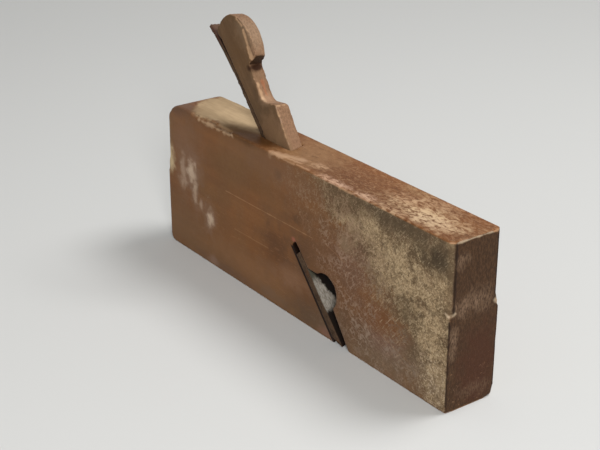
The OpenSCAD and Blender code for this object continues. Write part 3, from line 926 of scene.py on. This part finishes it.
wedge, wedge_solid = dense_copy("wedge", "wedge_worn", WEDGE_FACE)
wear_in(
    wedge,
    wedge_solid,
    rubs=4,
    rounded=[
        # Shoulder's far corner and the head's crown
        ((-28, WEDGE_LEFT, 105), (6, 4, 5), 6),
        ((-76, 0, 141), (14, 6, 10), 10),
        ((-54, 0, 128), (8, 6, 8), 6),
    ],
    knocks=[
        # Dents on the shoulder, under the head and at the hollow
        ((-27.5, -3, 106.2), (-27.8, -1.8, 106.0), 1.3, 0.7),
        ((-28.2, 0.8, 105.6), (-28.4, 2.0, 105.4), 1.1, 0.5),
        ((-50, WEDGE_LEFT, 121), (-52, 3, 124), 1.6, 0.6),
        ((-41, WEDGE_RIGHT, 108), (-44, WEDGE_RIGHT, 112), 0.9, 0.4),
        # Back arris, which the mallet and the tang have bruised
        ((-40, WEDGE_RIGHT, 88.1), (-78, WEDGE_RIGHT, 129.3), 1.3, 0.6),
        # Edge of the head's chamfer
        ((-62.6, WEDGE_RIGHT, 144.0), (-57.4, WEDGE_RIGHT, 141.4), 1.1, 0.4),
        ((-55.8, WEDGE_RIGHT, 139.0), (-52.4, WEDGE_RIGHT, 133.0), 1.6, 0.6),
        ((-51.6, WEDGE_RIGHT, 131.0), (-49.2, WEDGE_RIGHT, 126.6), 2.0, 0.7),
        # Bites out of the front arris above the stock
        ((-25.4, WEDGE_RIGHT, 103.5), (-24.2, WEDGE_RIGHT, 101.8), 1.3, 0.8),
        ((-21.6, WEDGE_RIGHT, 97.6), (-20.6, WEDGE_RIGHT, 96.0), 1.2, 0.7),
        ((-18.4, WEDGE_RIGHT, 92.6), (-17.6, WEDGE_RIGHT, 91.4), 1.1, 0.6),
    ],
    chip_depth=2.2,
    chip_size=2.6,
    ripple=0.07,
)

wedge_wood, tree, shader, place, wear = start_material("wedge_dry_beech")
_, across, up = axes_of(tree, place)
out = sums(tree, "ABSOLUTE", across)
grain = place_group(tree, beech_grain, Place=turned_place(tree, place, WEDGE_TURN))
speckle = place_group(tree, mottle, Place=place, Blob=8.0, Speck=1.2)
colour = coat(tree, grain["Bands"], tone(94, 70, 47), tone(108, 82, 57))
colour = coat(tree, grain["Fibres"], colour, tone(80, 58, 39), 0.3)
colour = coat(tree, speckle["Blobs"], colour, tone(88, 67, 47), 0.3)
# Paler front, back and head: partly their own colour, partly painted light where they face the lamps
front_colour_and_light = coat(tree, grain["Fibres"], tone(134, 101, 75), tone(108, 79, 58))
front_colour_and_light = coat(tree, speckle["Specks"], front_colour_and_light, tone(154, 121, 94), 0.6)
on_narrow_faces = rise(tree, out, WEDGE_LEFT - 0.1, WEDGE_LEFT - 0.6)
colour = coat(tree, on_narrow_faces, colour, front_colour_and_light)
colour = coat(tree, grain["Rays"], colour, tone(78, 55, 38), 0.45)

# Patches: rubbed pale in the hollow and on the head's front, and browned by handling on the sides
for middle, reach, over, strength in [
    ((-48, -1, 116), (4, 5, 5), tone(116, 90, 66), 0.6),
    ((-38, 0, 105.8), (5, 8, 3), tone(166, 132, 104), 0.6),
    ((-52, 0, 138), (11, 8, 9), tone(146, 123, 100), 0.5),
    ((-20, 0, 92), (8, 6, 8), tone(138, 105, 81), 0.5),
    ((-62, WEDGE_LEFT, 130), (10, 2, 9), tone(100, 74, 50), 0.5),
    ((-48, WEDGE_LEFT, 108), (7, 2, 8), tone(82, 62, 44), 0.4),
    ((-36, WEDGE_LEFT, 98), (9, 2, 9), tone(118, 90, 64), 0.5),
    ((-60, WEDGE_RIGHT, 128), (12, 2, 10), tone(98, 71, 45), 0.5),
    ((-40, WEDGE_RIGHT, 100), (9, 2, 10), tone(88, 68, 48), 0.4),
    ((-30, WEDGE_RIGHT, 92), (9, 2, 8), tone(130, 100, 73), 0.6),
    ((-21, WEDGE_RIGHT, 87), (9, 2, 6), tone(132, 104, 76), 0.7),
]:
    colour = stain(tree, colour, place, middle, reach, over, strength, blob=4.0)

# Small dents in the head's front and above the shoulder, filled with dirt
dents = [rise(tree, speckle["Specks"], 0.35, 0.0), on_narrow_faces]
for middle, reach in [
    ((-56, 0, 136), (12, 8, 11)),
    ((-23, 0, 98), (6, 8, 9)),
]:
    colour = stain(tree, colour, place, middle, reach, tone(104, 80, 62), 0.45, dents, soft=0.7)

# Streaks down the neck: pale beside the chafed arris, then a reddish one, and dirt on the arris
for start, end, width, over, strength in [
    ((-45.0, -2.9, 112.8), (-40.4, -3.2, 106.5), 2.0, tone(194, 158, 122), 0.65),
    ((-40.4, -3.2, 106.5), (-35.2, -3.2, 105.3), 1.6, tone(202, 168, 136), 0.65),
    ((-46.4, 0.3, 113.4), (-42.4, 0.8, 107.2), 1.9, tone(156, 94, 62), 0.55),
    ((-46.2, -4.5, 114.8), (-42.2, -4.6, 108.6), 0.8, tone(62, 44, 30), 0.6),
    ((-26.8, -4.6, 105.4), (-14.6, -4.6, 87.0), 1.0, tone(178, 146, 122), 0.55),
]:
    colour = streak(tree, colour, place, start, end, width, over, strength)

# Edges rubbed to paler wood
rubbed = place_group(tree, worn_edge, Wear=wear, Place=place, Start=0.12, Full=0.42, Breaks=0.6)
colour = coat(tree, rubbed["Mask"], colour, tone(172, 138, 106), 0.8)

# Painted shade under the head, on faces turned downwards and in the corner where it meets the neck
facing = tree.nodes.new("ShaderNodeNewGeometry").outputs["Normal"]
under = rise(tree, vector_sums(tree, "DOT_PRODUCT", facing, UNDER_HEAD), 0.45, 0.8)
under = both(tree, under, rise(tree, up, 117.0, 119.0))
colour = coat(tree, under, colour, tone(44, 25, 9), 0.92)
dirt = tone(46, 22, 6)
colour = stain(
    tree, colour, place, (-50.6, 0, 120.0), (2.4, 7, 2.0), dirt, 0.95, ragged=0.8, blob=4.0, soft=0.5
)

# Painted shade in the gap where the wedge's back meets the tang
for side in (WEDGE_RIGHT, WEDGE_LEFT):
    foot = (-40, side, 88)
    colour = streak(tree, colour, place, foot, (-78.5, side, 129.9), 1.8, tone(28, 18, 12), 0.92)
feed(tree, shader.inputs["Base Color"], colour)
feed(tree, shader.inputs["Roughness"], sums(tree, "MULTIPLY_ADD", rubbed["Mask"], 0.15, 0.66))
shader.inputs["Specular IOR Level"].default_value = DULL_SHINE
roughen(tree, shader, sums(tree, "MULTIPLY_ADD", speckle["Specks"], 0.5, grain["Relief"]), 0.12, 0.8)

wedge.data.materials.append(wedge_wood)
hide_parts("wedge")
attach(wedge, "wedge")

# Floor and light
# A plain pale studio floor that the plane stands on. A large soft lamp hangs over its left side, and a
# hooded one stands ahead of the toe, near the camera, and shines into the hole.

FLOOR_RADIUS = 9.0
FAR_GLOW = 0.5
SKY_LIGHT = 0.32
SKY_SEEN = 0.42
LAMPS_POINT_AT = Vector((0.0, 0.0, 0.05))

floor_mesh = bpy.data.meshes.new("floor")
work = bmesh.new()
bmesh.ops.create_circle(work, cap_ends=True, segments=96, radius=FLOOR_RADIUS)
work.to_mesh(floor_mesh)
work.free()
floor = bpy.data.objects.new("floor", floor_mesh)
bpy.context.scene.collection.objects.link(floor)
floor_paper = bpy.data.materials.new("floor_paper")
floor_paper.use_nodes = True
floor_tree = floor_paper.node_tree
paper = floor_tree.nodes["Principled BSDF"]
paper_grey = tone(205, 205, 203)
paper.inputs["Base Color"].default_value = paper_grey
paper.inputs["Roughness"].default_value = 0.9

# Far from the lamps the floor would fall to grey, so the camera sees it lit there
to_camera = floor_tree.nodes.new("ShaderNodeLightPath").outputs["Is Camera Ray"]
floor_place = floor_tree.nodes.new("ShaderNodeTexCoord").outputs["Object"]
far_off = rise(floor_tree, vector_sums(floor_tree, "LENGTH", floor_place), 0.5, 2.4)
paper.inputs["Emission Color"].default_value = paper_grey
feed(floor_tree, paper.inputs["Emission Strength"], both(floor_tree, far_off, to_camera, FAR_GLOW))
floor_mesh.materials.append(floor_paper)


def soft_lamp(name, place, size, watts, spread):
    lamp = bpy.data.lights.new(name, "AREA")
    lamp.shape = "DISK"
    lamp.size = size
    lamp.energy = watts
    lamp.spread = spread
    holder = bpy.data.objects.new(name, lamp)
    holder.location = place
    holder.rotation_euler = (LAMPS_POINT_AT - Vector(place)).to_track_quat("-Z", "Y").to_euler()
    bpy.context.scene.collection.objects.link(holder)


soft_lamp("key_lamp", place=(0.28, 0.62, 1.38), size=0.7, watts=14.0, spread=np.pi)
soft_lamp("front_lamp", place=(1.20, -0.74, 0.74), size=0.5, watts=6.0, spread=1.8)

# The sky lights the plane softly, and looks brighter than that to the camera and in reflections
world = bpy.data.worlds.new("studio")
world.use_nodes = True
world_tree = world.node_tree
sky = world_tree.nodes["Background"]
sky.inputs["Color"].default_value = tone(250, 250, 248)
light_path = world_tree.nodes.new("ShaderNodeLightPath")
kinds = ("Is Camera Ray", "Is Glossy Ray", "Is Transmission Ray")
seen = either(world_tree, *[light_path.outputs[kind] for kind in kinds])
feed(world_tree, sky.inputs["Strength"], sums(world_tree, "MULTIPLY_ADD", seen, SKY_SEEN, SKY_LIGHT))
bpy.context.scene.world = world

# Camera
# It stands where the photograph was taken: ahead of the toe, on the right-hand side and above the plane.

CAMERA_PLACE = Vector((0.49866, -0.37323, 0.32526))
LOOKING = Vector((-0.7376, 0.5388, -0.4069))
LENS = 79.206

camera_lens = bpy.data.cameras.new("camera")
camera_lens.sensor_fit = "HORIZONTAL"
camera_lens.sensor_width = 36.0
camera_lens.lens = LENS
camera_lens.clip_start = 0.01
camera = bpy.data.objects.new("camera", camera_lens)
camera.location = CAMERA_PLACE
camera.rotation_euler = LOOKING.to_track_quat("-Z", "Y").to_euler()
bpy.context.scene.collection.objects.link(camera)
bpy.context.scene.camera = camera
bpy.context.scene.view_settings.view_transform = "Standard"
